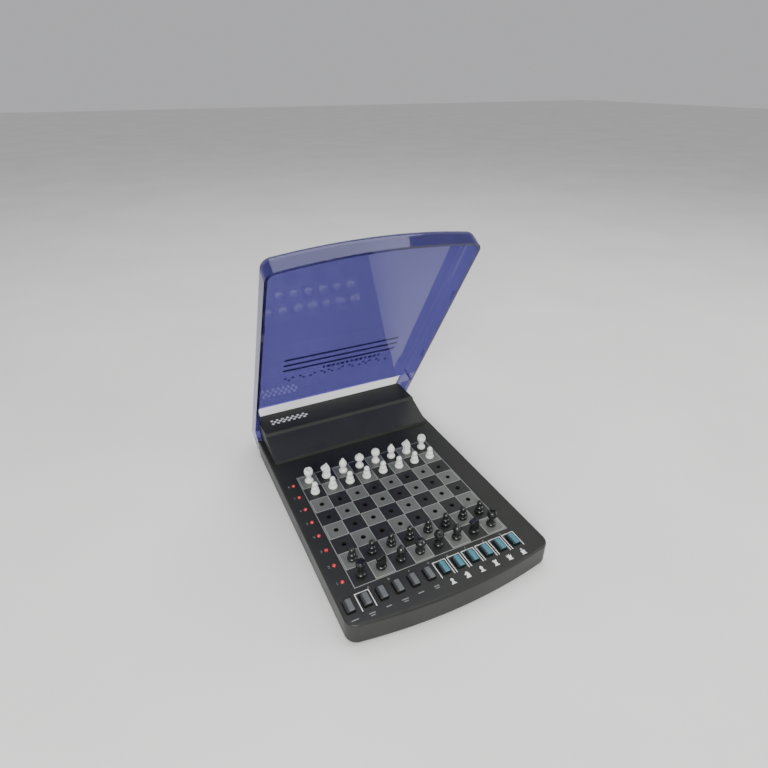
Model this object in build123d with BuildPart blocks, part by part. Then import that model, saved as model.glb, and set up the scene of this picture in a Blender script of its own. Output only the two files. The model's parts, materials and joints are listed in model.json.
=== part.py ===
"""Electronic travel chess computer with a hinged see-through lid.

Millimetres. +X is to the right, +Y to the rear, +Z up, and z = 0 is the table.
The player sits at -Y. The lid is drawn open at its display angle.
"""
import os
from math import cos, radians, sin

from build123d import *

os.makedirs("parts", exist_ok=True)

# ---------------------------------------------------------------- driving sizes
SQUARE = 14.0               # one square of the playing field
BOARD_X = -2.0              # centre of the playing field
BOARD_Y = -29.53
BASE_WIDTH = 145.6
BASE_LENGTH = 219.8
ARC_SAG = 7.0               # how far the bowed front edge falls back at the sides
CORNER_R = 8.0
REAR_CORNER_R = 3.0
FOOT_HEIGHT = 1.0
SPLIT_Z = 10.0              # parting line of the two shells
DECK_Z = 18.0               # surface of the playing field and keyboard
RAMP_Z = 20.4               # low front edge of the raised rear cover
LEDGE_Z = 29.6              # where the closed lid's panel ends above the cover
STRIP_Z = 32.0              # raised strip behind the closed lid
WALL = 2.0
OPEN_ANGLE = 59.0           # lid angle from closed, as drawn

FRONT_Y = BOARD_Y - 6.2 * SQUARE
REAR_Y = FRONT_Y + BASE_LENGTH
HALF_WIDTH = BASE_WIDTH / 2
REAR_HALF = HALF_WIDTH - 4.1        # half width of everything between the lid arms
COVER_Y = BOARD_Y + 5.65 * SQUARE
STRIP_Y = REAR_Y - 29.0

# hinge
HINGE_Y = REAR_Y - 7.7
HINGE_Z = 13.1
LOBE_R = 7.7
PIN_R = 1.5
PIN_TURNING = 0.06          # radial play of a pin in its boss
PIN_FIXED = 0.01            # and in the lid arm that holds it
NOTCH_Y = HINGE_Y - LOBE_R - 1.2    # the casing is narrower behind this line

# lid, in its own frame: origin on the hinge axis, axes as when closed
LID_TOP = 33.0 - HINGE_Z
LID_RIM = DECK_Z + 0.3 - HINGE_Z
LID_WALL = 2.0
LID_EDGE_R = 6.0
LID_FRONT = FRONT_Y - HINGE_Y
LID_REAR = REAR_Y - HINGE_Y
PANEL_REAR = STRIP_Y - 1.0 - HINGE_Y
ARM_INNER = REAR_HALF + 0.6
LID_PLANE = Plane(
    origin=(0, HINGE_Y, HINGE_Z),
    x_dir=(1, 0, 0),
    z_dir=(0, sin(radians(OPEN_ANGLE)), cos(radians(OPEN_ANGLE))),
)

# playing field, sensor stack and men
PLATE_SIZE = 8 * SQUARE + 3.0
PLATE_THICK = 2.6
PEG_R = 1.62
PEG_HOLE_R = 1.70
PEG_LENGTH = 4.0
CIRCUIT_Z = 11.0
CIRCUIT_THICK = 1.6
SHEET_THICK = 0.8

# keys
KEY_COUNT = 12
KEY_PITCH = 10.77
KEY_X = BOARD_X - 4.64 * SQUARE
KEY_Y = BOARD_Y - 4.80 * SQUARE
KEY_WIDTH = 5.4
KEY_LENGTH = 9.2
KEY_RISE = 2.0
KEY_GAP = 0.35

# indicator lamps
LAMP_X = BOARD_X - 4.40 * SQUARE
LAMP_R = 1.5

# batteries and their bay
CELL_R = 7.1
CELL_LENGTH = 50.0
CELL_PITCH = 14.8
CELL_Z = 10.8
CELL_X = -1.8
BAY_Y = REAR_Y - 26.5
BAY_HALF_X = 30.5
DOOR_HALF_X = 31.0
DOOR_FRONT = BAY_Y - 1.5 * CELL_PITCH - 3.0
DOOR_TONGUE = 1.6
FLOOR_Z = FOOT_HEIGHT + WALL

SCREW_SPOTS = [
    (-45, FRONT_Y + 9.5), (45, FRONT_Y + 9.5),
    (-60, BOARD_Y + 68), (60, BOARD_Y + 68),
    (-57, REAR_Y - 10), (57, REAR_Y - 10),
]
SCREW_R = 1.25
POST_R = 3.2
FOOT_SPOTS = [(-58, FRONT_Y + 22), (58, FRONT_Y + 22), (-54, REAR_Y - 24), (54, REAR_Y - 24)]
PILLAR_SPOTS = [
    (-64, KEY_Y), (0, KEY_Y), (64, KEY_Y), (-64, BOARD_Y), (64, BOARD_Y),
    (0, BOARD_Y - 20), (-64, BOARD_Y + 54), (0, BOARD_Y + 54), (64, BOARD_Y + 54),
]
BUZZER_SPOT = (48, BOARD_Y + 88)
COVER_OPENING = 40.0        # half width of the opening under the rear cover
COVER_PEGS = [(-64, COVER_Y + 12), (64, COVER_Y + 12), (-50, REAR_Y - 14), (50, REAR_Y - 14)]
COVER_PEG_R = 1.6
COVER_PEG_Z = 15.0
RIB_SPOTS = [-44, 44]
UP = (Align.CENTER, Align.CENTER, Align.MIN)
DOWN = (Align.CENTER, Align.CENTER, Align.MAX)


def save(part, label):
    """Label one finished piece and write its file."""
    part.label = label
    export_step(part, f"parts/{label}.step")


def square_centre(column, row):
    """Centre of a square: column 0 is at the left, row 0 is the rear rank."""
    return (BOARD_X + (column - 3.5) * SQUARE, BOARD_Y + (3.5 - row) * SQUARE)


def casing_plan(sketch, inset=0.0):
    """Plan of the casing: bowed front, straight sides, hinge notches at the rear."""
    half = HALF_WIDTH - inset
    rear_half = REAR_HALF - inset
    side_front = FRONT_Y + ARC_SAG + inset
    rear = REAR_Y - inset
    with BuildLine() as outline:
        ThreePointArc((-half, side_front), (0, FRONT_Y + inset), (half, side_front))
        Polyline(
            (half, side_front),
            (half, NOTCH_Y - inset),
            (rear_half, NOTCH_Y - inset),
            (rear_half, rear),
            (-rear_half, rear),
            (-rear_half, NOTCH_Y - inset),
            (-half, NOTCH_Y - inset),
            (-half, side_front),
        )
    make_face(outline.edges())
    fillet([v for v in sketch.vertices() if v.Y < side_front + 0.1], CORNER_R - inset)
    fillet([v for v in sketch.vertices() if v.Y > rear - 0.1], REAR_CORNER_R - inset / 2)


def cover_profile(inset=0.0):
    """Side view of the raised rear cover, drawn on the YZ plane."""
    with BuildLine() as outline:
        Polyline(
            (COVER_Y + inset, DECK_Z),
            (COVER_Y + inset + 0.8, RAMP_Z - inset),
            (STRIP_Y - 1.0 + inset / 2, LEDGE_Z - inset),
            (STRIP_Y + 0.4 + inset / 2, STRIP_Z - inset),
            (REAR_Y - inset, STRIP_Z - inset),
            (REAR_Y - inset, DECK_Z),
            close=True,
        )
    make_face(outline.edges())


# ---------------------------------------------------------------- casing shells
with BuildPart() as bottom_shell:
    with BuildSketch(Plane.XY.offset(FOOT_HEIGHT)) as plan:
        casing_plan(plan)
    extrude(amount=SPLIT_Z - FOOT_HEIGHT)
    fillet(bottom_shell.faces().sort_by(Axis.Z)[0].edges(), 2.6)
    with BuildSketch(Plane.XY.offset(FLOOR_Z)) as plan:
        casing_plan(plan, WALL)
    extrude(amount=SPLIT_Z, mode=Mode.SUBTRACT)
    # screw bosses
    with Locations(*[(x, y, FLOOR_Z - 0.5) for x, y in SCREW_SPOTS]):
        Cylinder(POST_R, SPLIT_Z - FLOOR_Z + 0.5, align=UP)
    # the bay has no floor, and is open through the rear wall: the door closes both
    with Locations((0, DOOR_FRONT - KEY_GAP, FOOT_HEIGHT - 1)):
        Box(2 * DOOR_HALF_X + 2 * KEY_GAP, 90, WALL, align=(Align.CENTER, Align.MIN, Align.MIN),
            mode=Mode.SUBTRACT)
    with Locations((0, DOOR_FRONT - KEY_GAP, FOOT_HEIGHT + 1.0)):
        Box(2 * (DOOR_HALF_X + DOOR_TONGUE + KEY_GAP), 90, 1.4,
            align=(Align.CENTER, Align.MIN, Align.MIN), mode=Mode.SUBTRACT)
    with Locations((0, REAR_Y - WALL - 1, FOOT_HEIGHT - 1)):
        Box(2 * DOOR_HALF_X + 2 * KEY_GAP, 10, 20, align=(Align.CENTER, Align.MIN, Align.MIN),
            mode=Mode.SUBTRACT)
    # bay walls beside and in front of the cells
    for side in (-1, 1):
        with Locations((side * (BAY_HALF_X + 3.6), BAY_Y - 0.7, FLOOR_Z - 0.5)):
            Box(1.6, 3 * CELL_PITCH + 4.6, 12.9, align=UP)
    with Locations((0, BAY_Y - 1.5 * CELL_PITCH - 2.2, FLOOR_Z + 0.4)):
        Box(2 * BAY_HALF_X + 8.8, 1.6, 12.0, align=UP)
    # pillars under the circuit board
    with Locations(*[(x, y, FLOOR_Z - 0.5) for x, y in PILLAR_SPOTS]):
        Cylinder(2.5, CIRCUIT_Z - FLOOR_Z + 0.5, align=UP)
    # screw holes with counterbores, foot pockets and sound holes
    with Locations(*[(x, y, 0) for x, y in SCREW_SPOTS]):
        Cylinder(SCREW_R + 0.1, 20, align=UP, mode=Mode.SUBTRACT)
        Cylinder(2.7, FOOT_HEIGHT + 2.2, align=UP, mode=Mode.SUBTRACT)
    with Locations(*[(x, y, FOOT_HEIGHT) for x, y in FOOT_SPOTS]):
        Cylinder(5.0, 0.6, align=UP, mode=Mode.SUBTRACT)
    with Locations((BUZZER_SPOT[0], BUZZER_SPOT[1], 0)):
        with PolarLocations(5.0, 6):
            Cylinder(0.9, 6, align=UP, mode=Mode.SUBTRACT)
        Cylinder(0.9, 6, align=UP, mode=Mode.SUBTRACT)
save(bottom_shell.part, "bottom_shell")

with BuildPart() as top_shell:
    with BuildSketch(Plane.XY.offset(SPLIT_Z)) as plan:
        casing_plan(plan)
    extrude(amount=DECK_Z - SPLIT_Z)
    fillet(top_shell.faces().sort_by(Axis.Z)[-1].edges(), 1.4)
    # hollow
    with BuildSketch(Plane.XY.offset(SPLIT_Z)) as plan:
        casing_plan(plan, WALL)
    extrude(amount=DECK_Z - WALL - SPLIT_Z, mode=Mode.SUBTRACT)
    # opening under the rear cover for the cells, and sockets for the cover's pegs
    with BuildSketch(Plane.XY.offset(SPLIT_Z)):
        with Locations((0, BAY_Y - 1.5 * CELL_PITCH - 4)):
            Rectangle(2 * COVER_OPENING, REAR_Y - 4 - BAY_Y + 1.5 * CELL_PITCH + 4, align=(Align.CENTER, Align.MIN))
        with Locations(*COVER_PEGS):
            Circle(COVER_PEG_R + 0.05)
    extrude(amount=10, mode=Mode.SUBTRACT)
    # ledge that carries the playing field, then its opening
    with BuildSketch(Plane.XY.offset(DECK_Z - PLATE_THICK - 1.6)):
        with Locations((BOARD_X, BOARD_Y)):
            Rectangle(PLATE_SIZE + 4, PLATE_SIZE + 4)
    extrude(amount=PLATE_THICK + 0.1)
    with BuildSketch(Plane.XY.offset(DECK_Z - PLATE_THICK)):
        with Locations((BOARD_X, BOARD_Y)):
            RectangleRounded(PLATE_SIZE + 0.2, PLATE_SIZE + 0.2, 1.2)
    extrude(amount=10, mode=Mode.SUBTRACT)
    with Locations((BOARD_X, BOARD_Y, SPLIT_Z)):
        Box(PLATE_SIZE - 3, PLATE_SIZE - 3, 10, align=UP, mode=Mode.SUBTRACT)
    # key openings and lamp holes
    with BuildSketch(Plane.XY.offset(SPLIT_Z)):
        with Locations(*[(KEY_X + i * KEY_PITCH, KEY_Y) for i in range(KEY_COUNT)]):
            RectangleRounded(KEY_WIDTH + 2 * KEY_GAP, KEY_LENGTH + 2 * KEY_GAP, 1.1)
        with Locations(*[(LAMP_X, square_centre(0, row)[1]) for row in range(8)]):
            Circle(LAMP_R + 0.1)
    extrude(amount=20, mode=Mode.SUBTRACT)
    # screw posts
    for x, y in SCREW_SPOTS:
        with Locations((x, y, SPLIT_Z)):
            Cylinder(POST_R, DECK_Z - WALL + 0.2 - SPLIT_Z, align=UP)
            Cylinder(SCREW_R + 0.05, 5.5, align=UP, mode=Mode.SUBTRACT)
    # hinge bosses inside the rear walls, and the pin bores
    for side in (-1, 1):
        with Locations(Location((side * (REAR_HALF - WALL + 0.2), HINGE_Y, HINGE_Z), (0, -side * 90, 0))):
            Cylinder(3.0, 4.2, align=UP)
        with Locations(Location((side * (REAR_HALF + 1), HINGE_Y, HINGE_Z), (0, -side * 90, 0))):
            Cylinder(PIN_R + PIN_TURNING, 9, align=UP, mode=Mode.SUBTRACT)
save(top_shell.part, "top_shell")

with BuildPart() as rear_cover:
    with BuildSketch(Plane.YZ):
        cover_profile()
    extrude(amount=REAR_HALF, both=True)
    fillet(rear_cover.edges().filter_by(Axis.Z).filter_by(lambda e: e.center().Y > REAR_Y - 1), REAR_CORNER_R)
    fillet(rear_cover.faces().sort_by(Axis.Z)[-1].edges(), 1.2)
    with BuildSketch(Plane.YZ):
        cover_profile(WALL)
    extrude(amount=REAR_HALF - WALL, both=True, mode=Mode.SUBTRACT)
    # ribs across the inside, and the pegs that hold the cover in the deck
    for x in RIB_SPOTS:
        with Locations((x, STRIP_Y, DECK_Z + 2)):
            Box(1.4, REAR_Y - STRIP_Y - 1, STRIP_Z - DECK_Z - 3, align=(Align.CENTER, Align.MIN, Align.MIN))
    for x, y in COVER_PEGS:
        roof = STRIP_Z if y > STRIP_Y else RAMP_Z + 4.6
        with Locations((x, y, COVER_PEG_Z)):
            Cylinder(COVER_PEG_R, roof - WALL + 0.5 - COVER_PEG_Z, align=UP)
save(rear_cover.part, "rear_cover")

with BuildPart() as battery_door:
    with BuildSketch(Plane.XY.offset(FOOT_HEIGHT)):
        with Locations((0, DOOR_FRONT)):
            Rectangle(2 * DOOR_HALF_X, REAR_Y - DOOR_FRONT, align=(Align.CENTER, Align.MIN))
    extrude(amount=WALL)
    with BuildSketch(Plane.XY.offset(FOOT_HEIGHT + 1.2)):
        with Locations((0, DOOR_FRONT)):
            Rectangle(2 * (DOOR_HALF_X + DOOR_TONGUE), REAR_Y - WALL - 3 - DOOR_FRONT,
                      align=(Align.CENTER, Align.MIN))
    extrude(amount=WALL - 1.2)
    with BuildSketch(Plane.XY.offset(FOOT_HEIGHT)):
        with Locations((0, REAR_Y)):
            Rectangle(2 * DOOR_HALF_X, WALL, align=(Align.CENTER, Align.MAX))
    extrude(amount=SPLIT_Z - FOOT_HEIGHT - 0.2)
    rear_bottom = battery_door.edges().filter_by(Axis.X).filter_by(
        lambda e: e.center().Z < FOOT_HEIGHT + 0.1 and e.center().Y > REAR_Y - 0.1)
    fillet(rear_bottom, 2.6)
    # thumb grip: a row of ridges cut across the outer face
    for i in range(5):
        with Locations((0, REAR_Y - 12 - 2.4 * i, FOOT_HEIGHT)):
            Box(18, 1.1, 0.5, align=UP, mode=Mode.SUBTRACT)
save(battery_door.part, "battery_door")

with BuildPart() as screws:
    for x, y in SCREW_SPOTS:
        with BuildSketch(Plane(origin=(x, y, 0), x_dir=(1, 0, 0), z_dir=(0, -1, 0))):
            with BuildLine():
                Polyline((0, 1.5), (1.9, 1.5), (2.4, 2.0), (2.4, 3.2), (SCREW_R, 3.2),
                         (SCREW_R, 14.0), (0.2, 15.0), (0, 15.0), close=True)
            make_face()
        revolve(axis=Axis((x, y, 0), (0, 0, 1)))
        with Locations((x, y, 1.5)):
            Box(2.6, 0.6, 0.9, align=UP, mode=Mode.SUBTRACT)
            Box(0.6, 2.6, 0.9, align=UP, mode=Mode.SUBTRACT)
save(screws.part, "case_screws")

with BuildPart() as feet:
    for x, y in FOOT_SPOTS:
        with BuildSketch(Plane(origin=(x, y, 0), x_dir=(1, 0, 0), z_dir=(0, -1, 0))):
            with BuildLine():
                Polyline((0, 0), (4.2, 0), (4.8, 0.6), (4.8, 1.6), (0, 1.6), close=True)
            make_face()
        revolve(axis=Axis((x, y, 0), (0, 0, 1)))
save(feet.part, "rubber_feet")

# ---------------------------------------------------------------- playing field
with BuildPart() as board_plate:
    with BuildSketch(Plane.XY.offset(DECK_Z - PLATE_THICK)):
        with Locations((BOARD_X, BOARD_Y)):
            RectangleRounded(PLATE_SIZE, PLATE_SIZE, 1.0)
            with GridLocations(SQUARE, SQUARE, 8, 8):
                Circle(PEG_HOLE_R, mode=Mode.SUBTRACT)
    extrude(amount=PLATE_THICK)
save(board_plate.part, "board_plate")

with BuildPart() as sensor_sheet:
    with Locations((BOARD_X, BOARD_Y, CIRCUIT_Z + CIRCUIT_THICK)):
        Box(PLATE_SIZE - 4.0, PLATE_SIZE - 4.0, SHEET_THICK, align=UP)
save(sensor_sheet.part, "sensor_sheet")

# ---------------------------------------------------------------- electronics
CIRCUIT_FRONT = KEY_Y - 5.6
CIRCUIT_REAR = BOARD_Y + 60.0
with BuildPart() as circuit_board:
    with BuildSketch(Plane.XY.offset(CIRCUIT_Z)):
        with Locations((0, (CIRCUIT_FRONT + CIRCUIT_REAR) / 2)):
            RectangleRounded(140.0, CIRCUIT_REAR - CIRCUIT_FRONT, 2.0)
    extrude(amount=CIRCUIT_THICK)
save(circuit_board.part, "circuit_board")

with BuildPart() as processor:
    with Locations((20, BOARD_Y + 30, CIRCUIT_Z)):
        Box(18, 18, 2.2, align=DOWN)
    fillet(processor.faces().sort_by(Axis.Z)[0].edges(), 0.4)
save(processor.part, "processor_chip")

with BuildPart() as oscillator:
    with Locations((-6, BOARD_Y + 34, CIRCUIT_Z)):
        Box(10.5, 4.0, 3.4, align=DOWN)
    fillet(oscillator.edges().filter_by(Axis.Z), 1.9)
save(oscillator.part, "quartz_crystal")

with BuildPart() as lamps:
    for row in range(8):
        x, y = LAMP_X, square_centre(0, row)[1]
        with BuildSketch(Plane(origin=(x, y, CIRCUIT_Z + CIRCUIT_THICK), x_dir=(1, 0, 0), z_dir=(0, -1, 0))):
            with BuildLine():
                Polyline((0, 0), (LAMP_R + 0.4, 0), (LAMP_R + 0.4, 1.0), (LAMP_R, 1.0), (LAMP_R, 5.2))
                ThreePointArc((LAMP_R, 5.2), (LAMP_R * cos(radians(45)), 5.2 + LAMP_R * sin(radians(45))),
                              (0, 5.2 + LAMP_R))
                Line((0, 5.2 + LAMP_R), (0, 0))
            make_face()
        revolve(axis=Axis((x, y, 0), (0, 0, 1)))
save(lamps.part, "indicator_lamps")

with BuildPart() as rubber_keypad:
    with Locations(((2 * KEY_X + (KEY_COUNT - 1) * KEY_PITCH) / 2, KEY_Y, CIRCUIT_Z + CIRCUIT_THICK)):
        Box((KEY_COUNT - 1) * KEY_PITCH + 6.0, KEY_LENGTH + 1.0, 0.7, align=UP)
    for i in range(KEY_COUNT):
        with Locations((KEY_X + i * KEY_PITCH, KEY_Y, CIRCUIT_Z + CIRCUIT_THICK)):
            Cone(2.2, 1.4, 1.3, align=UP)
save(rubber_keypad.part, "rubber_keypad")

with BuildPart() as buzzer:
    with Locations((BUZZER_SPOT[0], BUZZER_SPOT[1], FLOOR_Z)):
        Cylinder(11.5, 3.0, align=UP)
    fillet(buzzer.faces().sort_by(Axis.Z)[-1].edges(), 0.6)
    with Locations((BUZZER_SPOT[0], BUZZER_SPOT[1], FLOOR_Z)):
        Cylinder(7.5, 1.8, align=UP, mode=Mode.SUBTRACT)
save(buzzer.part, "buzzer")

# ---------------------------------------------------------------- batteries
for number in range(3):
    facing = 1 if number % 2 == 0 else -1
    cell_y = BAY_Y + (number - 1) * CELL_PITCH
    with BuildPart() as cell:
        with BuildSketch(Plane(origin=(CELL_X, cell_y, CELL_Z), x_dir=(facing, 0, 0), z_dir=(0, -facing, 0))):
            with BuildLine():
                Polyline((-CELL_LENGTH / 2, 0), (-CELL_LENGTH / 2, CELL_R - 0.5),
                         (-CELL_LENGTH / 2 + 0.5, CELL_R), (CELL_LENGTH / 2 - 1.9, CELL_R),
                         (CELL_LENGTH / 2 - 1.4, CELL_R - 0.5), (CELL_LENGTH / 2 - 1.4, 2.7),
                         (CELL_LENGTH / 2, 2.5), (CELL_LENGTH / 2, 0), close=True)
            make_face()
        revolve(axis=Axis((CELL_X, cell_y, CELL_Z), (1, 0, 0)))
    save(cell.part, f"battery_{number + 1}")

with BuildPart() as contacts:
    left = CELL_X - CELL_LENGTH / 2
    right = CELL_X + CELL_LENGTH / 2
    for number in range(3):
        cell_y = BAY_Y + (number - 1) * CELL_PITCH
        # flat plate at the left end, coil with its plate at the right end
        with Locations((left - 0.45, cell_y, CELL_Z)):
            Box(0.5, 10, 10)
        with Locations((right + 3.6, cell_y, CELL_Z)):
            Box(0.5, 10, 10)
        with BuildLine():
            turns = Helix(pitch=1.1, height=3.3, radius=3.0, center=(right + 0.3, cell_y, CELL_Z),
                          direction=(1, 0, 0))
        with BuildSketch(Plane(origin=turns @ 0, z_dir=turns % 0)):
            Circle(0.25)
        sweep()
save(contacts.part, "battery_contacts")

# ---------------------------------------------------------------- keys
KEY_NAMES = [
    "key_power", "key_new_game", "key_level", "key_side", "key_take_back", "key_move",
    "key_pawn", "key_knight", "key_bishop", "key_rook", "key_queen", "key_king",
]
for index, name in enumerate(KEY_NAMES):
    x = KEY_X + index * KEY_PITCH
    with BuildPart() as key:
        with BuildSketch(Plane.XY.offset(DECK_Z - WALL - 1.3)):
            with Locations((x, KEY_Y)):
                RectangleRounded(KEY_WIDTH + 1.6, KEY_LENGTH + 1.4, 0.8)
        extrude(amount=1.0)
        with BuildSketch(Plane.XY.offset(DECK_Z - WALL - 1.3)):
            with Locations((x, KEY_Y)):
                RectangleRounded(KEY_WIDTH, KEY_LENGTH, 0.9)
        extrude(amount=WALL + 1.3 + KEY_RISE)
        fillet(key.faces().sort_by(Axis.Z)[-1].edges(), 0.7)
        with Locations((x, KEY_Y, DECK_Z - WALL - 1.3)):
            Box(KEY_WIDTH - 2, KEY_LENGTH - 2.4, KEY_RISE + 1.8, align=UP, mode=Mode.SUBTRACT)
            Cylinder(1.2, KEY_RISE + 2.0, align=UP)
    save(key.part, name)

# ---------------------------------------------------------------- lid and hinge
with BuildPart() as lid:
    with BuildSketch(LID_PLANE.offset(LID_RIM)) as plan:
        with BuildLine():
            ThreePointArc((-HALF_WIDTH, LID_FRONT + ARC_SAG), (0, LID_FRONT), (HALF_WIDTH, LID_FRONT + ARC_SAG))
            Polyline((HALF_WIDTH, LID_FRONT + ARC_SAG), (HALF_WIDTH, LID_REAR),
                     (-HALF_WIDTH, LID_REAR), (-HALF_WIDTH, LID_FRONT + ARC_SAG))
        make_face()
        fillet(plan.vertices().sort_by(Axis.Y)[:2], CORNER_R)
    extrude(amount=LID_TOP - LID_RIM)
    lid_up = Axis((0, HINGE_Y, HINGE_Z), LID_PLANE.z_dir)
    lid_back = Axis((0, HINGE_Y, HINGE_Z), LID_PLANE.y_dir)
    top_face = lid.faces().sort_by(lid_up)[-1]
    fillet(top_face.edges().sort_by(lid_back)[:-1], LID_EDGE_R)
    rear_face = lid.faces().sort_by(lid_back)[-1]
    rim_face = lid.faces().sort_by(lid_up)[0]
    offset(amount=-LID_WALL, openings=[rear_face, rim_face])
    # thicker side walls near the hinge, and the lobes that carry the pins
    arm_thick = HALF_WIDTH - ARM_INNER
    for side in (-1, 1):
        arm_x = side * (ARM_INNER + 0.75)
        with BuildSketch(LID_PLANE.offset(LID_RIM)):
            with Locations((arm_x, (LID_REAR + PANEL_REAR - 12) / 2)):
                Rectangle(1.5, LID_REAR - PANEL_REAR + 12)
        extrude(amount=11.4)
        with BuildSketch(LID_PLANE.offset(0)):
            with Locations((side * (ARM_INNER + arm_thick / 2), 0)):
                Rectangle(arm_thick, 2 * LOBE_R)
        extrude(amount=LID_RIM + 0.5)
        with BuildSketch(Plane(origin=(side * ARM_INNER, HINGE_Y, HINGE_Z), x_dir=(0, 1, 0), z_dir=(1, 0, 0))):
            Circle(LOBE_R)
        extrude(amount=side * arm_thick)
    # opening between the arms for the raised strip
    with BuildSketch(LID_PLANE.offset(-20)):
        with Locations((0, (PANEL_REAR + LID_REAR + 5) / 2)):
            Rectangle(2 * ARM_INNER, LID_REAR + 5 - PANEL_REAR)
    extrude(amount=60, mode=Mode.SUBTRACT)
    # pin bores with counterbores for the heads
    for side in (-1, 1):
        with BuildSketch(Plane(origin=(0, HINGE_Y, HINGE_Z), x_dir=(0, 1, 0), z_dir=(side, 0, 0))):
            Circle(PIN_R + PIN_FIXED)
        extrude(amount=HALF_WIDTH + 1, mode=Mode.SUBTRACT)
        with BuildSketch(Plane(origin=(side * (HALF_WIDTH - 1.4), HINGE_Y, HINGE_Z), x_dir=(0, 1, 0),
                               z_dir=(side, 0, 0))):
            Circle(3.0)
        extrude(amount=3, mode=Mode.SUBTRACT)
    # three grooves across the outside of the panel
    with BuildSketch(LID_PLANE.offset(LID_TOP - 0.5)):
        for i in range(3):
            with Locations((0, PANEL_REAR - 52 - 7.5 * i)):
                SlotOverall(96, 1.2)
    extrude(amount=2, mode=Mode.SUBTRACT)
    # snap ribs on the inside of the side walls, and the snap bead of the front wall
    for side in (-1, 1):
        for along in (0.28, 0.68):
            with BuildSketch(LID_PLANE.offset(LID_RIM + 1.5)):
                with Locations((side * (HALF_WIDTH - LID_WALL - 0.3), PANEL_REAR + along * (LID_FRONT - PANEL_REAR))):
                    Rectangle(1.2, 8)
            extrude(amount=1.6)
    with BuildSketch(LID_PLANE.offset(LID_RIM + 1.5)):
        with Locations((0, LID_FRONT + LID_WALL + 0.3)):
            Rectangle(14, 1.2)
    extrude(amount=1.6)
save(lid.part, "lid")

for side, name in ((-1, "hinge_pin_left"), (1, "hinge_pin_right")):
    with BuildPart() as pin:
        with BuildSketch(Plane(origin=(side * (REAR_HALF - 5.5), HINGE_Y, HINGE_Z), x_dir=(0, 1, 0),
                               z_dir=(side, 0, 0))):
            Circle(PIN_R)
        extrude(amount=5.5 + HALF_WIDTH - REAR_HALF - 1.2)
        with BuildSketch(Plane(origin=(side * (HALF_WIDTH - 1.2), HINGE_Y, HINGE_Z), x_dir=(0, 1, 0),
                               z_dir=(side, 0, 0))):
            Circle(2.7)
        extrude(amount=1.0)
        fillet(pin.faces().sort_by(Axis.X)[-1 if side > 0 else 0].edges(), 0.5)
    save(pin.part, name)

with BuildPart() as washers:
    for side in (-1, 1):
        with BuildSketch(Plane(origin=(side * (REAR_HALF + 0.1), HINGE_Y, HINGE_Z), x_dir=(0, 1, 0),
                               z_dir=(side, 0, 0))):
            Circle(4.2)
            Circle(PIN_R + PIN_TURNING, mode=Mode.SUBTRACT)
        extrude(amount=0.4)
save(washers.part, "friction_washers")

# ---------------------------------------------------------------- chess men
# Each turned profile is a chain of arcs given as start, bulge, end, bulge, end ...
# with (radius, height) above the square.
PAWN = [(3.0, 0), (3.4, 1.2), (2.1, 2.6), (2.7, 4.2), (1.5, 5.8), (2.1, 7.9), (0.5, 10.1)]
ROOK = [(2.9, 0), (3.3, 1.1), (2.2, 2.6), (1.8, 4.6), (2.3, 6.6), (3.4, 9.2), (2.6, 12.0)]
BISHOP = [(2.9, 0), (3.3, 1.1), (2.2, 2.6), (1.9, 3.7), (2.1, 4.8), (2.9, 8.0), (0.9, 11.3),
          (1.1, 11.9), (0.4, 12.3)]
QUEEN = [(2.9, 0), (3.3, 1.1), (2.2, 2.7), (1.8, 4.6), (2.2, 6.4), (3.4, 9.2), (2.6, 11.4),
         (1.6, 12.1), (0.5, 12.4)]
KING = [(2.9, 0), (3.3, 1.1), (2.2, 2.7), (1.8, 4.6), (2.2, 6.4), (3.6, 8.8), (2.4, 10.6),
        (1.5, 11.2), (0.5, 11.4)]
HEAD_EDGE_R = 0.3
KNIGHT_BASE = [(3.1, 0), (3.5, 1.1), (2.6, 2.6)]


def turn(profile, x, y):
    """Revolve one arc chain about the upright axis through a square, and add its peg."""
    with BuildSketch(Plane(origin=(x, y, DECK_Z), x_dir=(1, 0, 0), z_dir=(0, -1, 0))) as section:
        with BuildLine():
            for i in range(0, len(profile) - 2, 2):
                ThreePointArc(profile[i], profile[i + 1], profile[i + 2])
            if profile[-1][0] > 0:
                Line(profile[-1], (0, profile[-1][1]))
            Line((0, profile[-1][1]), (0, 0))
            Line((0, 0), profile[0])
        make_face()
    revolve(section.sketch, axis=Axis((x, y, DECK_Z), (0, 0, 1)))
    with Locations((x, y, DECK_Z + 0.5)):
        Cylinder(PEG_R, PEG_LENGTH + 0.5, align=DOWN)


def horse_head(x, y):
    """Flat-sided horse head standing on the knight's base, nose to the left."""
    with BuildSketch(Plane(origin=(x, y + 1.7, DECK_Z), x_dir=(1, 0, 0), z_dir=(0, -1, 0))) as head:
        with BuildLine():
            Polyline((2.5, 2.0), (2.9, 6.2), (2.3, 9.6), (0.9, 12.1), (0.0, 11.0), (-3.3, 9.5),
                     (-3.9, 7.9), (-2.6, 7.1), (-0.9, 7.7), (-2.3, 4.4), (-2.4, 2.0), close=True)
        make_face()
        fillet([v for v in head.vertices() if v.Y > 3], 0.45)
    body = extrude(head.sketch, amount=3.4, mode=Mode.PRIVATE)
    add(body.fillet(HEAD_EDGE_R, body.faces().filter_by(Axis.Y).edges()))


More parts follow.
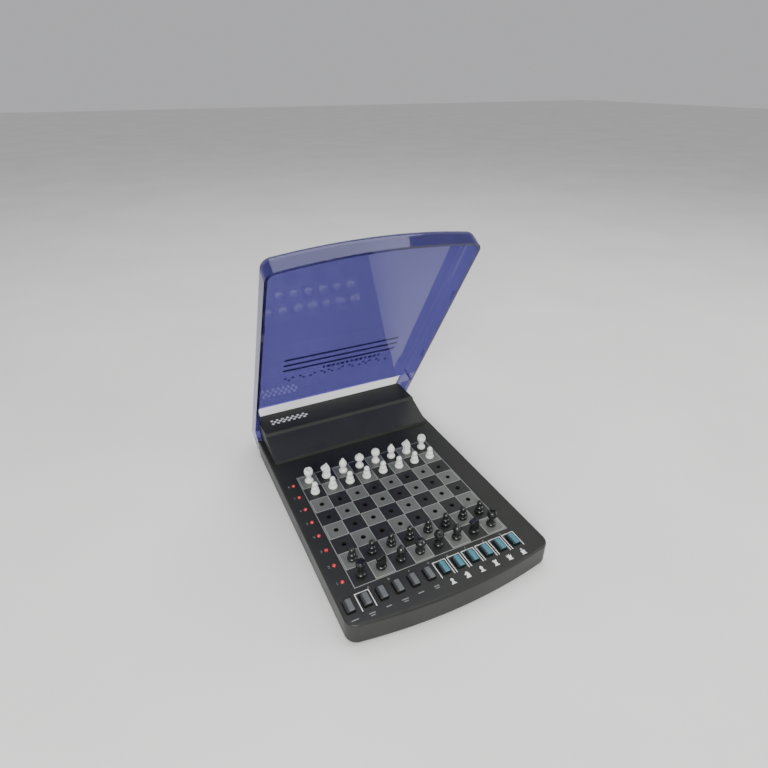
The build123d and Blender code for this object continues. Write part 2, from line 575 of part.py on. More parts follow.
def set_men(colour, back_row, pawn_row):
    """Write the sixteen men of one side."""
    with BuildPart() as pawns:
        for column in range(8):
            turn(PAWN, *square_centre(column, pawn_row))
    save(pawns.part, f"{colour}_pawns")
    back_rank = [(0, "rook_left", ROOK), (2, "bishop_left", BISHOP), (3, "king", KING),
                 (4, "queen", QUEEN), (5, "bishop_right", BISHOP), (7, "rook_right", ROOK)]
    for column, name, profile in back_rank:
        x, y = square_centre(column, back_row)
        with BuildPart() as man:
            turn(profile, x, y)
            if profile is ROOK:
                with Locations((x, y, DECK_Z + 12.0)):
                    Cylinder(1.7, 1.2, align=DOWN, mode=Mode.SUBTRACT)
                    Box(9, 0.9, 1.1, align=DOWN, mode=Mode.SUBTRACT)
                    Box(0.9, 9, 1.1, align=DOWN, mode=Mode.SUBTRACT)
            if profile is BISHOP:
                with Locations(Location((x + 2.2, y, DECK_Z + 9.6), (0, -50, 0))):
                    Box(3.4, 7, 0.6, mode=Mode.SUBTRACT)
            if profile is KING:
                with Locations((x, y, DECK_Z + 11.2)):
                    Box(0.9, 0.9, 1.4, align=UP)
                with Locations((x, y, DECK_Z + 11.6)):
                    Box(2.4, 0.9, 0.7, align=UP)
            if profile is QUEEN:
                with Locations((x, y, DECK_Z + 12.4)):
                    with PolarLocations(2.7, 6):
                        Cylinder(0.55, 1.6, align=DOWN, mode=Mode.SUBTRACT)
        save(man.part, f"{colour}_{name}")
    for column, name in ((1, "knight_left"), (6, "knight_right")):
        with BuildPart() as knight:
            turn(KNIGHT_BASE, *square_centre(column, back_row))
            horse_head(*square_centre(column, back_row))
        save(knight.part, f"{colour}_{name}")


set_men("white", 0, 1)
set_men("black", 7, 6)
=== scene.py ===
"""Looks of the travel chess computer: materials, printed graphics, floor, light and camera."""
import math

import bmesh
import bpy
from mathutils import Matrix, Vector
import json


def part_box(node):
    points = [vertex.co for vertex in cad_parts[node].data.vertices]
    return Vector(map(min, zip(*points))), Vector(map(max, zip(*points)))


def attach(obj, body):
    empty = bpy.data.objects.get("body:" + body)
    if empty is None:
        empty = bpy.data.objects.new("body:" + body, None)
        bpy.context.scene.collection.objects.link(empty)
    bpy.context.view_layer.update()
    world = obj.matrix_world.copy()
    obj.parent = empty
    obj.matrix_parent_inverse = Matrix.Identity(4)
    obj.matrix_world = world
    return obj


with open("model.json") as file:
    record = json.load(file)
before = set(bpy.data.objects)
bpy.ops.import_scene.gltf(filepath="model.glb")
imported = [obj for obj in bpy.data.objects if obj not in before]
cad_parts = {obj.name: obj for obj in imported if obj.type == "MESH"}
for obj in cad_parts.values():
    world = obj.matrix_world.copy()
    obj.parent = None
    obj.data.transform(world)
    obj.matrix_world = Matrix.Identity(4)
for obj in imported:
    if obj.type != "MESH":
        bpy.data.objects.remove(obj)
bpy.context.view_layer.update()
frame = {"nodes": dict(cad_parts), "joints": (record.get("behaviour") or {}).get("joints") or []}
nodes = frame["nodes"]
MM = 0.001

# ---------------------------------------------------------------- places taken from the frame
plate_low, plate_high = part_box("board_plate")
PLATE_RIM = 1.5 * MM                                # plate edge outside the outer squares
SQUARE = (plate_high.x - plate_low.x - 2 * PLATE_RIM) / 8
FIELD_X = plate_low.x + PLATE_RIM                   # left edge of the outer file
FIELD_Y = plate_low.y + PLATE_RIM                   # front edge of the front rank
DECK_Z = plate_high.z
COVER_LOW, COVER_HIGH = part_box("rear_cover")
INK = 0.03 * MM                                     # printed ink starts this far above its surface
INK_DEPTH = 0.03 * MM
GREY_KEYS = ["key_power", "key_new_game", "key_level", "key_side", "key_take_back", "key_move"]
PIECE_KEYS = ["key_pawn", "key_knight", "key_bishop", "key_rook", "key_queen", "key_king"]
FIRST_LOW, FIRST_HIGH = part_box("key_power")
KEY_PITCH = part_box("key_new_game")[0].x - FIRST_LOW.x
KEY_SKIRT = 0.8 * MM                                # hidden flange round the foot of each cap
KEY_LEFT = FIRST_LOW.x + KEY_SKIRT
KEY_WIDTH = FIRST_HIGH.x - FIRST_LOW.x - 2 * KEY_SKIRT
LID_JOINT = next(j for j in frame["joints"] if j["child"] == "lid")
HINGE = Vector(LID_JOINT["pos_m"])
OPEN_ANGLE = math.radians(-LID_JOINT["range_deg"][0])


# ---------------------------------------------------------------- node graph helpers
class Graph:
    """A material's node tree, with short calls for the nodes that these materials use."""

    def __init__(self, name):
        self.material = bpy.data.materials.new(name)
        self.material.use_nodes = True
        self.tree = self.material.node_tree
        self.shader = self.tree.nodes["Principled BSDF"]
        self.place = self.add("ShaderNodeTexCoord").outputs["Object"]

    def add(self, kind, **settings):
        node = self.tree.nodes.new(kind)
        for key, value in settings.items():
            setattr(node, key, value)
        return node

    def feed(self, socket, value):
        if isinstance(value, bpy.types.NodeSocket):
            self.tree.links.new(value, socket)
        else:
            socket.default_value = value

    def math(self, operation, a, b=0.0, clamp=False):
        node = self.add("ShaderNodeMath", operation=operation, use_clamp=clamp)
        self.feed(node.inputs[0], a)
        self.feed(node.inputs[1], b)
        return node.outputs[0]

    def noise(self, scale, detail=4.0, roughness=0.5, stretch=(1, 1, 1)):
        mapping = self.add("ShaderNodeMapping")
        mapping.inputs["Scale"].default_value = stretch
        self.feed(mapping.inputs["Vector"], self.place)
        node = self.add("ShaderNodeTexNoise")
        self.feed(node.inputs["Vector"], mapping.outputs[0])
        node.inputs["Scale"].default_value = scale
        node.inputs["Detail"].default_value = detail
        node.inputs["Roughness"].default_value = roughness
        return node.outputs["Fac"]

    def spread(self, value, low, high, from_low=0.3, from_high=0.7):
        node = self.add("ShaderNodeMapRange")
        self.feed(node.inputs["Value"], value)
        for key, number in (("From Min", from_low), ("From Max", from_high), ("To Min", low), ("To Max", high)):
            node.inputs[key].default_value = number
        return node.outputs[0]

    def mix(self, factor, a, b):
        node = self.add("ShaderNodeMix", data_type="RGBA")
        self.feed(node.inputs[0], factor)
        self.feed(node.inputs[6], a)
        self.feed(node.inputs[7], b)
        return node.outputs[2]

    def bump(self, height, distance, strength=1.0, normal=None):
        node = self.add("ShaderNodeBump")
        node.inputs["Strength"].default_value = strength
        node.inputs["Distance"].default_value = distance
        self.feed(node.inputs["Height"], height)
        if normal is not None:
            self.feed(node.inputs["Normal"], normal)
        return node.outputs[0]

    def edges(self, radius):
        """About 1 on sharp edges and 0 on flat faces."""
        bevel = self.add("ShaderNodeBevel", samples=4)
        bevel.inputs["Radius"].default_value = radius
        geometry = self.add("ShaderNodeNewGeometry")
        dot = self.add("ShaderNodeVectorMath", operation="DOT_PRODUCT")
        self.feed(dot.inputs[0], bevel.outputs[0])
        self.feed(dot.inputs[1], geometry.outputs["Normal"])
        return self.spread(dot.outputs["Value"], 1.0, 0.0, 0.75, 0.99)

    def axis(self, name):
        node = self.add("ShaderNodeSeparateXYZ")
        self.feed(node.inputs[0], self.place)
        return node.outputs[name]


def shade(colour, factor):
    """The colour made lighter or darker."""
    return tuple(min(1.0, c * factor) for c in colour[:3]) + (1.0,)


def srgb(red, green, blue):
    """A colour given in screen values from 0 to 255, as linear light."""
    return tuple(((c / 255 + 0.055) / 1.055) ** 2.4 if c > 10 else c / 3295 for c in (red, green, blue)) + (1.0,)


def moulded(name, colour, rough, grain=0.35, grain_depth=0.012, wear=0.25, spec=0.5, coat=0.0, mottle=0.12):
    """Injection-moulded plastic: spark-eroded grain, faint flow mottling, handling sheen, rubbed edges."""
    g = Graph(name)
    flow = g.noise(45, 3, 0.55)
    body = g.mix(g.spread(flow, 0, 1), shade(colour, 1 - mottle), shade(colour, 1 + mottle))
    specks = g.noise(2600, 2, 0.6)
    body = g.mix(g.spread(specks, 0.0, 0.25, 0.55, 0.75), body, shade(colour, 1.5))
    edge = g.math("MULTIPLY", g.edges(0.35 * MM), g.spread(g.noise(220, 4, 0.6), 0.2, 1.0, 0.35, 0.65))
    body = g.mix(g.math("MULTIPLY", edge, wear), body, shade(colour, 2.1))
    g.feed(g.shader.inputs["Base Color"], body)
    handled = g.noise(28, 5, 0.62)
    gloss = g.math("ADD", g.spread(handled, -0.07, 0.07), rough)
    g.feed(g.shader.inputs["Roughness"], g.math("SUBTRACT", gloss, g.math("MULTIPLY", edge, 0.12), clamp=True))
    fine = g.bump(g.noise(1000 / grain, 3, 0.6), grain_depth * MM)
    g.feed(g.shader.inputs["Normal"], g.bump(g.noise(90, 2, 0.5), 0.03 * MM, 0.6, fine))
    g.shader.inputs["Specular IOR Level"].default_value = spec
    g.shader.inputs["Coat Weight"].default_value = coat
    g.shader.inputs["Coat Roughness"].default_value = 0.12
    return g.material


def metal(name, colour, rough, stretch=(1, 1, 30), scale=500):
    """Drawn or plated metal with fine lines, stains and brighter rubbed edges."""
    g = Graph(name)
    lines = g.noise(scale, 4, 0.7, stretch)
    stain = g.noise(160, 5, 0.6)
    body = g.mix(g.spread(stain, 0, 1), shade(colour, 0.78), shade(colour, 1.08))
    body = g.mix(g.math("MULTIPLY", g.edges(0.2 * MM), 0.5), body, shade(colour, 1.35))
    g.feed(g.shader.inputs["Base Color"], body)
    g.feed(g.shader.inputs["Roughness"], g.math("ADD", g.spread(lines, -0.09, 0.12), rough, clamp=True))
    g.feed(g.shader.inputs["Normal"], g.bump(lines, 0.006 * MM))
    g.shader.inputs["Metallic"].default_value = 1.0
    return g.material


def rubber(name, colour, rough=0.82):
    """Moulded rubber: dusty, with a coarse pebble."""
    g = Graph(name)
    dust = g.noise(380, 6, 0.65)
    g.feed(g.shader.inputs["Base Color"], g.mix(g.spread(dust, 0, 0.5, 0.5, 0.8), colour, shade(colour, 2.2)))
    g.feed(g.shader.inputs["Roughness"], g.math("ADD", g.spread(g.noise(120), -0.08, 0.08), rough, clamp=True))
    g.feed(g.shader.inputs["Normal"], g.bump(g.noise(1800, 4, 0.6), 0.03 * MM))
    g.shader.inputs["Specular IOR Level"].default_value = 0.25
    return g.material


def tinted_lid():
    """See-through violet acrylic: clear gloss, with hairline scratches, dust and a handling haze."""
    g = Graph("lid_violet_acrylic")
    deep = srgb(96, 92, 164)
    tint = g.mix(g.spread(g.noise(9, 2, 0.4), 0, 1), shade(deep, 0.92), shade(deep, 1.1))
    dust = g.spread(g.noise(2400, 2, 0.7), 0.0, 0.35, 0.66, 0.8)
    g.feed(g.shader.inputs["Base Color"], g.mix(dust, tint, srgb(150, 154, 205)))
    haze = g.spread(g.noise(14, 5, 0.6), 0.03, 0.11, 0.4, 0.75)
    g.feed(g.shader.inputs["Roughness"], g.math("ADD", haze, g.math("MULTIPLY", dust, 0.3), clamp=True))
    hair = g.noise(60, 2, 0.9, (1, 40, 40))
    cross = g.noise(70, 2, 0.9, (35, 2, 35))
    scratch = g.math("MAXIMUM", g.spread(hair, 0, 1, 0.72, 0.76), g.spread(cross, 0, 1, 0.74, 0.78))
    g.feed(g.shader.inputs["Normal"], g.bump(scratch, 0.004 * MM, 0.5))
    g.shader.inputs["Transmission Weight"].default_value = 0.93
    g.shader.inputs["IOR"].default_value = 1.49
    g.shader.inputs["Specular IOR Level"].default_value = 0.34
    return g.material


def printed_board():
    """Silk-screened playing field: hatched light squares with bright outlines on satin black."""
    g = Graph("board_silkscreen")
    black = srgb(28, 29, 26)
    light = srgb(97, 100, 95)
    line = srgb(146, 149, 143)
    across = g.math("DIVIDE", g.math("SUBTRACT", g.axis("X"), FIELD_X), SQUARE)
    along = g.math("DIVIDE", g.math("SUBTRACT", g.axis("Y"), FIELD_Y), SQUARE)
    total = g.math("ADD", g.math("FLOOR", across), g.math("FLOOR", along))
    odd = g.math("FLOORED_MODULO", total, 2.0)
    side_a = g.math("PINGPONG", across, 0.5)
    side_b = g.math("PINGPONG", along, 0.5)
    from_edge = g.math("MINIMUM", side_a, side_b)
    inside = g.math("MULTIPLY", g.math("LESS_THAN", g.math("ABSOLUTE", g.math("SUBTRACT", across, 4.0)), 4.0),
                    g.math("LESS_THAN", g.math("ABSOLUTE", g.math("SUBTRACT", along, 4.0)), 4.0))
    diagonal = g.math("ADD", g.axis("X"), g.axis("Y"))
    hatch = g.math("PINGPONG", g.math("DIVIDE", diagonal, 0.55 * MM), 0.5)
    hatched = g.mix(g.spread(hatch, 0.0, 1.0, 0.16, 0.34), shade(light, 0.62), shade(light, 1.16))
    rim = g.math("LESS_THAN", from_edge, 0.035)
    square = g.mix(rim, hatched, line)
    ink = g.math("MULTIPLY", odd, inside)
    field = g.mix(ink, black, square)
    half_x = g.math("ABSOLUTE", g.math("SUBTRACT", across, 4.0))
    half_y = g.math("ABSOLUTE", g.math("SUBTRACT", along, 4.0))
    out = g.math("SUBTRACT", g.math("MAXIMUM", half_x, half_y), 4.045)
    border = g.math("LESS_THAN", g.math("ABSOLUTE", out), 0.018)
    field = g.mix(border, field, srgb(130, 132, 130))
    worn = g.spread(g.noise(300, 5, 0.65), 0, 0.35, 0.58, 0.75)
    field = g.mix(g.math("MULTIPLY", worn, ink), field, shade(light, 0.6))
    top = g.add("ShaderNodeSeparateXYZ")
    g.feed(top.inputs[0], g.add("ShaderNodeNewGeometry").outputs["Normal"])
    up = g.math("GREATER_THAN", top.outputs["Z"], 0.5)
    g.feed(g.shader.inputs["Base Color"], g.mix(up, black, field))
    sheen = g.math("ADD", g.spread(g.noise(30, 5, 0.6), -0.06, 0.06), 0.46)
    g.feed(g.shader.inputs["Roughness"], g.math("SUBTRACT", sheen, g.math("MULTIPLY", ink, 0.06), clamp=True))
    fine = g.bump(g.noise(3000, 3, 0.6), 0.01 * MM)
    g.feed(g.shader.inputs["Normal"], g.bump(g.math("ADD", ink, hatch), 0.012 * MM, 1.0, fine))
    return g.material


def key_plastic(name, face, shaded_side):
    """Key caps painted two-tone for light and shade: a light top face as a painted highlight that fades into
    painted shade towards its left edge, and a dark colour on the sides as painted shade.
    """
    g = Graph(name)
    normal = g.add("ShaderNodeSeparateXYZ")
    g.feed(normal.inputs[0], g.add("ShaderNodeNewGeometry").outputs["Normal"])
    # upward faces get the light colour and steep faces the dark one: painted light on the top, painted shade on
    # the sides
    painted_top_light = g.spread(normal.outputs["Z"], 0.0, 1.0, 0.55, 0.8)
    across = g.math("DIVIDE", g.math("SUBTRACT", g.axis("X"), KEY_LEFT), KEY_PITCH)
    from_left = g.math("MULTIPLY", g.math("FRACT", across), KEY_PITCH / KEY_WIDTH)
    # the light top fades into the dark colour over the left part of each cap: painted shade on the left of a
    # curved cap lit from the right
    up = g.math("MULTIPLY", painted_top_light, g.spread(from_left, 0.0, 1.0, 0.22, 0.42))
    worn = g.spread(g.noise(420, 5, 0.6), 0.0, 0.3, 0.55, 0.75)
    mottled_highlight = g.mix(g.spread(g.noise(150, 3), 0, 1), shade(face, 0.86), shade(face, 1.1))
    top = g.mix(worn, mottled_highlight, shade(shaded_side, 1.6))
    g.feed(g.shader.inputs["Base Color"], g.mix(up, shaded_side, top))
    g.feed(g.shader.inputs["Roughness"], g.math("ADD", g.spread(g.noise(200, 4), -0.07, 0.07), 0.4, clamp=True))
    g.feed(g.shader.inputs["Normal"], g.bump(g.noise(2600, 3, 0.6), 0.012 * MM))
    return g.material


def printed_ink(name, colour):
    """Slightly uneven screen-printing ink."""
    g = Graph(name)
    thin = g.spread(g.noise(1500, 4, 0.65), 0.0, 0.4, 0.5, 0.75)
    g.feed(g.shader.inputs["Base Color"], g.mix(thin, colour, shade(colour, 0.62)))
    g.feed(g.shader.inputs["Roughness"], g.math("ADD", g.spread(g.noise(700), -0.08, 0.08), 0.5, clamp=True))
    g.feed(g.shader.inputs["Normal"], g.bump(g.noise(3500, 2, 0.6), 0.006 * MM))
    return g.material


def lamp_lens():
    """Red tinted epoxy lens with a brighter core, darkened towards its rim where the dome turns away from the
    view: painted shade.
    """
    g = Graph("lamp_lens")
    painted_rim_shade = g.add("ShaderNodeLayerWeight")
    painted_rim_shade.inputs["Blend"].default_value = 0.35
    streak = g.spread(g.noise(900, 3), 0.0, 0.3)
    core = g.mix(streak, srgb(198, 52, 54), srgb(168, 34, 38))
    # the lens colour turns to a darker red where the dome faces away from the view: painted shade round the rim
    g.feed(g.shader.inputs["Base Color"], g.mix(painted_rim_shade.outputs["Facing"], core, srgb(112, 24, 28)))
    g.feed(g.shader.inputs["Roughness"], g.spread(g.noise(260, 3), 0.07, 0.2))
    g.feed(g.shader.inputs["Normal"], g.bump(g.noise(700, 2), 0.006 * MM))
    g.shader.inputs["Transmission Weight"].default_value = 0.12
    g.shader.inputs["Coat Weight"].default_value = 0.5
    return g.material


def laminate():
    """Green solder mask over copper tracks."""
    g = Graph("circuit_laminate")
    tracks_x = g.math("LESS_THAN", g.math("PINGPONG", g.math("DIVIDE", g.axis("X"), 3.1 * MM), 0.5), 0.12)
    tracks_y = g.math("LESS_THAN", g.math("PINGPONG", g.math("DIVIDE", g.axis("Y"), 7.3 * MM), 0.5), 0.04)
    gate = g.spread(g.noise(40, 1), 0, 1, 0.49, 0.5)
    track = g.math("ADD", g.math("MULTIPLY", tracks_x, gate), tracks_y, clamp=True)
    g.feed(g.shader.inputs["Base Color"], g.mix(track, srgb(28, 92, 52), srgb(62, 134, 78)))
    g.feed(g.shader.inputs["Roughness"], g.spread(g.noise(300), 0.28, 0.42))
    g.feed(g.shader.inputs["Normal"], g.bump(track, 0.03 * MM))
    return g.material


def cell_jacket(centre_x):
    """Printed battery jacket: a dark sleeve, a copper-coloured band and bare metal ends."""
    g = Graph("cell_jacket")
    along = g.math("SUBTRACT", g.axis("X"), centre_x)
    band = g.math("GREATER_THAN", along, 11 * MM)
    ends = g.math("GREATER_THAN", g.math("ABSOLUTE", along), 23.0 * MM)
    body = g.mix(band, srgb(38, 44, 52), srgb(176, 112, 62))
    g.feed(g.shader.inputs["Base Color"], g.mix(ends, body, srgb(196, 196, 192)))
    g.feed(g.shader.inputs["Metallic"], g.math("MAXIMUM", ends, g.math("MULTIPLY", band, 0.7)))
    g.feed(g.shader.inputs["Roughness"], g.spread(g.noise(420, 4), 0.24, 0.4))
    g.feed(g.shader.inputs["Normal"], g.bump(g.noise(900, 3), 0.01 * MM))
    return g.material


# ---------------------------------------------------------------- materials on the CAD nodes
BLACK_CASE = srgb(37, 38, 35)
case = moulded("case_black", BLACK_CASE, 0.4, grain=0.5, grain_depth=0.02, wear=0.3, spec=0.32)
cover = moulded("cover_black", shade(BLACK_CASE, 1.08), 0.47, grain=0.5, grain_depth=0.016, wear=0.35,
                spec=0.36)
door = moulded("door_black", shade(BLACK_CASE, 0.92), 0.46, grain=0.5, grain_depth=0.02, spec=0.32)
ivory = moulded("men_white", srgb(224, 226, 219), 0.34, grain=0.9, grain_depth=0.008, wear=0.05, mottle=0.03)
ebony = moulded("men_black", srgb(24, 25, 25), 0.27, grain=0.9, grain_depth=0.008, wear=0.35, coat=0.2)
# the second colour of each cap is the dark colour used as painted shade on its sides and on the left of its top
grey_cap = key_plastic("key_grey", srgb(86, 90, 90), srgb(24, 25, 25))
teal_cap = key_plastic("key_teal", srgb(58, 120, 133), srgb(14, 30, 35))
steel = metal("steel", srgb(186, 188, 190), 0.3)
zinc = metal("zinc_plate", srgb(140, 143, 146), 0.38, (1, 1, 1), 900)
nickel = metal("nickel_plate", srgb(205, 204, 198), 0.24, (1, 30, 1))
nylon = moulded("nylon", srgb(214, 211, 202), 0.5, mottle=0.05, wear=0.0)
epoxy = moulded("chip_epoxy", srgb(28, 28, 30), 0.6, grain=0.25)
# sensor film made near-black so that the peg holes over it look dark: painted shade in the holes
hole_shade_film = moulded("sensor_film", srgb(26, 25, 23), 0.4, grain=0.8, wear=0.0)

surfaces = {
    "top_shell": case, "bottom_shell": case, "rear_cover": cover, "battery_door": door,
    "board_plate": printed_board(),
    "lid": tinted_lid(), "hinge_pin_left": steel, "hinge_pin_right": steel, "friction_washers": nylon,
    "case_screws": zinc, "rubber_feet": rubber("foot_rubber", srgb(30, 30, 30)), "sensor_sheet": hole_shade_film,
    "circuit_board": laminate(), "processor_chip": epoxy, "quartz_crystal": nickel,
    "indicator_lamps": lamp_lens(), "rubber_keypad": rubber("keypad_silicone", srgb(170, 170, 164), 0.6),
    "buzzer": epoxy, "battery_contacts": nickel,
}
cell_low, cell_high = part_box("battery_1")
jacket = cell_jacket((cell_low.x + cell_high.x) / 2)
for name in nodes:
    if name.startswith("white_"):
        surfaces[name] = ivory
    elif name.startswith("black_"):
        surfaces[name] = ebony
    elif name in GREY_KEYS:
        surfaces[name] = grey_cap
    elif name in PIECE_KEYS:
        surfaces[name] = teal_cap
    elif name in ("battery_1", "battery_2", "battery_3"):
        surfaces[name] = jacket
for name, surface in surfaces.items():
    slots = nodes[name].material_slots
    if slots:
        for material_slot in slots:
            material_slot.material = surface
    else:
        nodes[name].data.materials.append(surface)


# ---------------------------------------------------------------- printed and raised graphics
white_ink = printed_ink("white_ink", srgb(226, 228, 226))
grey_ink = printed_ink("grey_ink", srgb(118, 122, 121))


def flat_piece(name, outlines, place, surface, body="root"):
    """A thin raised print: filled outlines, given in the plane, put where place says."""
    mesh = bmesh.new()
    for outline in outlines:
        low = [mesh.verts.new((x, y, 0)) for x, y in outline]
        face = mesh.faces.new(low)
        turned = sum(a[0] * b[1] - b[0] * a[1] for a, b in zip(outline, outline[1:] + outline[:1]))
        if face.normal.z < 0 or turned < 0:
            face.normal_flip()
        grown = bmesh.ops.extrude_face_region(mesh, geom=[face])
        for vert in (v for v in grown["geom"] if isinstance(v, bmesh.types.BMVert)):
            vert.co.z += INK_DEPTH
    bmesh.ops.recalc_face_normals(mesh, faces=mesh.faces)
    mesh.transform(place)
    data = bpy.data.meshes.new(name)
    mesh.to_mesh(data)
    mesh.free()
    data.materials.append(surface)
    piece = bpy.data.objects.new(name, data)
    bpy.context.scene.collection.objects.link(piece)
    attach(piece, body)


def bar(x0, y0, x1, y1):
    """A rectangle as an outline."""
    return [(x0, y0), (x1, y0), (x1, y1), (x0, y1)]


def block(cx, cy, width, height):
    """A rectangle round its centre, as an outline."""
    return bar(cx - width / 2, cy - height / 2, cx + width / 2, cy + height / 2)


def rounded_bar(cx, cy, width, height):
    """A bar with round ends."""
    radius = height / 2
    reach = width / 2 - radius
    turn = [math.radians(-90 + 30 * i) for i in range(7)]
    right = [(cx + reach + radius * math.cos(t), cy + radius * math.sin(t)) for t in turn]
    left = [(cx - reach - radius * math.cos(t), cy - radius * math.sin(t)) for t in turn]
    return right + left


def disc(cx, cy, radius, count=20):
    """A circle as an outline."""
    return [(cx + radius * math.cos(2 * math.pi * i / count), cy + radius * math.sin(2 * math.pi * i / count))
            for i in range(count)]


def on_deck(x, y):
    """Placement of a print on the deck."""
    return Matrix.Translation((x, y, DECK_Z + INK))


def key_middle(name):
    low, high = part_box(name)
    return (low.x + high.x) / 2, (low.y + high.y) / 2


# brackets round the second grey key and round the six piece keys, open towards the player
BRACKET_HALF = 4.25 * MM
BRACKET_REAR = 6.1 * MM
BRACKET_FRONT = -6.4 * MM
BRACKET_LINE = 0.5 * MM
BRACKET_OUTER = BRACKET_HALF + BRACKET_LINE
for name in GREY_KEYS[1:2] + PIECE_KEYS:
    x, y = key_middle(name)
    strokes = [
        bar(-BRACKET_OUTER, BRACKET_FRONT, -BRACKET_HALF, BRACKET_REAR),
        bar(BRACKET_HALF, BRACKET_FRONT, BRACKET_OUTER, BRACKET_REAR),
        bar(-BRACKET_OUTER, BRACKET_REAR, BRACKET_OUTER, BRACKET_REAR + BRACKET_LINE),
    ]
    flat_piece("print_bracket_" + name[4:], strokes, on_deck(x, y), white_ink)

# small outlines of the men in front of the piece keys, in millimetres from the middle of the foot
FOOT = [(-1.7, 0), (1.7, 0), (1.7, 0.55), (-1.7, 0.55)]
ICONS = {
    "key_pawn": [FOOT, [(-1.2, 0.6), (1.2, 0.6), (0.5, 2.5), (-0.5, 2.5)], disc(0, 3.2, 1.0)],
    "key_knight": [FOOT, [(-1.2, 0.6), (1.5, 0.6), (1.6, 2.9), (0.9, 4.4), (0.2, 4.9), (-0.1, 4.3), (-1.7, 3.1),
                          (-1.6, 2.5), (-0.3, 2.7), (-0.9, 1.7)]],
    "key_bishop": [FOOT, [(-1.0, 0.6), (1.0, 0.6), (0.6, 1.7), (-0.6, 1.7)],
                   [(-0.6, 1.8), (0.6, 1.8), (1.15, 2.9), (0.7, 3.9), (0, 4.6), (-0.7, 3.9), (-1.15, 2.9)]],
    "key_rook": [FOOT, [(-1.1, 0.6), (1.1, 0.6), (0.9, 3.1), (-0.9, 3.1)],
                 [(-1.4, 3.2), (1.4, 3.2), (1.4, 4.5), (0.8, 4.5), (0.8, 4.0), (0.3, 4.0), (0.3, 4.5),
                  (-0.3, 4.5), (-0.3, 4.0), (-0.8, 4.0), (-0.8, 4.5), (-1.4, 4.5)]],
    "key_queen": [FOOT, [(-1.1, 0.6), (1.1, 0.6), (1.9, 4.1), (0.95, 2.9), (0.6, 4.6), (0, 3.0), (-0.6, 4.6),
                         (-0.95, 2.9), (-1.9, 4.1)]],
    "key_king": [FOOT, [(-1.1, 0.6), (1.1, 0.6), (1.6, 2.7), (0.6, 3.3), (-0.6, 3.3), (-1.6, 2.7)],
                 bar(-0.2, 3.35, 0.2, 5.1), bar(-0.75, 4.1, -0.22, 4.5), bar(0.22, 4.1, 0.75, 4.5)],
}
ICON_DROP = 13.1 * MM                               # from the middle of a key to the foot of its picture
for name, outlines in ICONS.items():
    x, y = key_middle(name)
    scaled = [[(px * MM, py * MM) for px, py in outline] for outline in outlines]
    flat_piece("print_icon_" + name[4:], scaled, on_deck(x, y - ICON_DROP), white_ink)

# short plain dashes in front of the grey keys, where labels would be
DASH_DROP = 9.7 * MM
DASH_LINE = 1.5 * MM
for index, name in enumerate(GREY_KEYS):
    x, y = key_middle(name)
    dashes = [rounded_bar(0, 0, (4.6 - 0.5 * (index % 3)) * MM, 0.7 * MM)]
    if index % 2:
        dashes.append(rounded_bar(0, -DASH_LINE, 3.0 * MM, 0.6 * MM))
    flat_piece("print_dashes_" + name[4:], dashes, on_deck(x, y - DASH_DROP), grey_ink)


def character(text, size, x, y, name):
    """One printed digit or letter, centred on a point of the deck."""
    curve = bpy.data.curves.new(name, "FONT")
    curve.body = text
    curve.size = size
    curve.align_x = "CENTER"
    curve.align_y = "CENTER"
    curve.extrude = 0.012 * MM
    curve.resolution_u = 3
    letter = bpy.data.objects.new(name + "_curve", curve)
    bpy.context.scene.collection.objects.link(letter)
    bpy.context.view_layer.update()
    data = bpy.data.meshes.new_from_object(letter.evaluated_get(bpy.context.evaluated_depsgraph_get()))
    bpy.data.objects.remove(letter)
    data.transform(Matrix.Translation((x, y, DECK_Z + INK)))
    data.materials.clear()
    data.materials.append(grey_ink)
    piece = bpy.data.objects.new(name, data)
    bpy.context.scene.collection.objects.link(piece)
    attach(piece, "root")


lamp_low, lamp_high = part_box("indicator_lamps")
DIGIT_X = (lamp_low.x + lamp_high.x) / 2 - 3.4 * MM
DIGIT_SIZE = 3.0 * MM
LETTER_Y = FIELD_Y - 3.3 * MM
LETTER_SIZE = 2.8 * MM
for rank in range(8):
    middle = (rank + 0.5) * SQUARE
    character(str(rank + 1), DIGIT_SIZE, DIGIT_X, FIELD_Y + middle, f"print_rank_{rank + 1}")
    character("abcdefgh"[rank], LETTER_SIZE, FIELD_X + middle, LETTER_Y, f"print_file_{rank + 1}")

# a plain checked badge on the raised strip
BADGE_CELL = 2.3 * MM
BADGE_FILL = 0.94                                   # printed part of a cell, so that corners don't touch
BADGE_PLACE = (COVER_LOW.x + 9 * MM, COVER_HIGH.y - 18 * MM, COVER_HIGH.z + INK)
badge = [bar(c * BADGE_CELL, r * BADGE_CELL, (c + BADGE_FILL) * BADGE_CELL, (r + BADGE_FILL) * BADGE_CELL)
         for c in range(14) for r in range(3) if (c + r) % 2 == 0]
flat_piece("print_badge", badge, Matrix.Translation(BADGE_PLACE), white_ink)

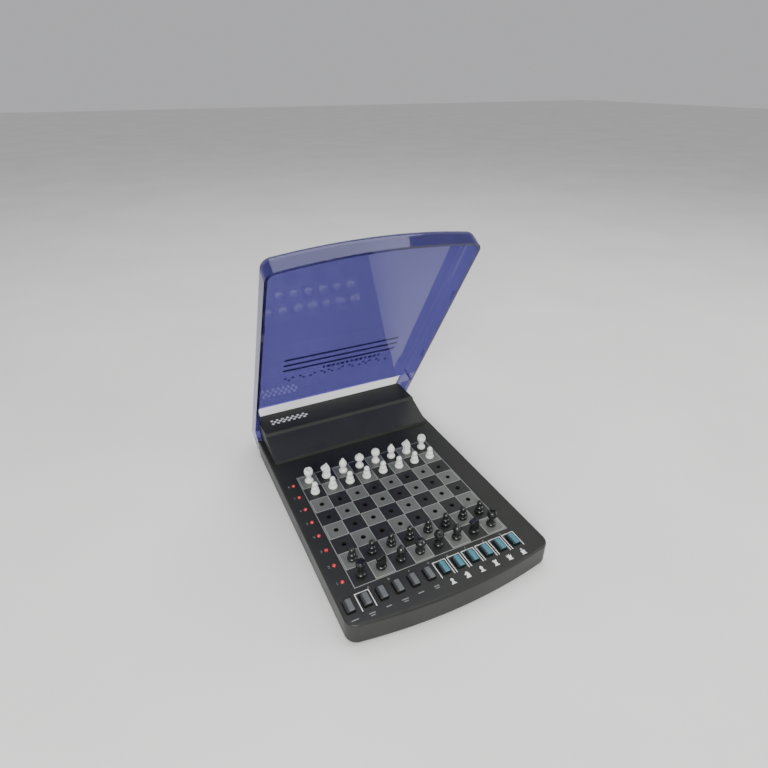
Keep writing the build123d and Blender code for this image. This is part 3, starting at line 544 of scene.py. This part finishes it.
# marks on the outside of the lid, in its own plane: a band over each groove, a row of plain dashes and two rows
# of dots
LID_TOP = 19.9 * MM                                 # outside of the closed lid above the hinge line
PANEL_REAR = COVER_HIGH.y - 30 * MM - HINGE.y       # rear edge of its panel, from the hinge line
GROOVES = [PANEL_REAR - (52 + 7.5 * i) * MM for i in range(3)]
BAND = (98 * MM, 2.6 * MM)                          # length and width
DASH_ROW = GROOVES[0] + 6 * MM
DASH_HEIGHT = 3.4 * MM
DOT_R = 1.15 * MM
violet_ink = printed_ink("violet_ink", srgb(104, 102, 176))
lid_surface = (Matrix.Translation(HINGE) @ Matrix.Rotation(-OPEN_ANGLE, 4, "X")
               @ Matrix.Translation((0, 0, LID_TOP + INK)))
bands = [rounded_bar(0, y, *BAND) for y in GROOVES]
flat_piece("lid_bands", bands, lid_surface, violet_ink, body="lid")
dashes = [block((-14 + 4.1 * i) * MM, DASH_ROW, (1.9 + 0.6 * ((i * 5) % 3)) * MM, DASH_HEIGHT)
          for i in range(13)]
dots = [disc((-46 + 3.1 * i) * MM, GROOVES[0] + (12 + 3.2 * ((i * 3) % 2)) * MM, DOT_R, 12)
        for i in range(30) if (i * 7) % 11 < 8]
flat_piece("lid_marks", dashes + dots, lid_surface, violet_ink, body="lid")


# ---------------------------------------------------------------- floor, light and camera
def floor():
    """Plain pale table top."""
    g = Graph("pale_floor")
    pale = g.mix(g.spread(g.noise(6, 3), 0, 1), srgb(226, 226, 224), srgb(234, 234, 232))
    g.feed(g.shader.inputs["Base Color"], pale)
    g.shader.inputs["Roughness"].default_value = 0.75
    bpy.ops.mesh.primitive_plane_add(size=12)
    plane = bpy.context.object
    plane.name = "floor"
    plane.data.materials.append(g.material)


def area_light(name, place, target, size, power, colour=(1, 1, 1)):
    data = bpy.data.lights.new(name, "AREA")
    data.shape = "RECTANGLE"
    data.size = size[0]
    data.size_y = size[1]
    data.energy = power
    data.color = colour
    lamp = bpy.data.objects.new(name, data)
    lamp.location = place
    lamp.rotation_euler = (Vector(target) - Vector(place)).to_track_quat("-Z", "Y").to_euler()
    bpy.context.scene.collection.objects.link(lamp)


floor()
area_light("key_light", (-0.55, -0.85, 0.55), (0, -0.03, 0.03), (0.5, 0.4), 13)
area_light("fill_light", (0.9, -0.5, 0.6), (0, 0, 0.05), (0.6, 0.6), 5)
area_light("top_light", (0.1, 0.25, 1.2), (0, 0, 0.05), (1.0, 1.0), 9)
world = bpy.data.worlds.new("studio")
world.use_nodes = True
world.node_tree.nodes["Background"].inputs["Color"].default_value = (0.97, 0.97, 1.0, 1)
world.node_tree.nodes["Background"].inputs["Strength"].default_value = 0.5
bpy.context.scene.world = world

VIEW_AZIMUTH = math.radians(-26)
VIEW_ELEVATION = math.radians(30)
VIEW_DISTANCE = 0.385
AIM = Vector((0.008, 0.010, 0.094))
level = math.cos(VIEW_ELEVATION)
back = Vector((math.sin(VIEW_AZIMUTH) * level, -math.cos(VIEW_AZIMUTH) * level, math.sin(VIEW_ELEVATION)))
lens = bpy.data.cameras.new("camera")
lens.sensor_width = 36
lens.lens = 25
lens.clip_start = 0.01
camera = bpy.data.objects.new("camera", lens)
camera.location = AIM + back * VIEW_DISTANCE
camera.rotation_euler = back.to_track_quat("Z", "Y").to_euler()
bpy.context.scene.collection.objects.link(camera)
bpy.context.scene.camera = camera
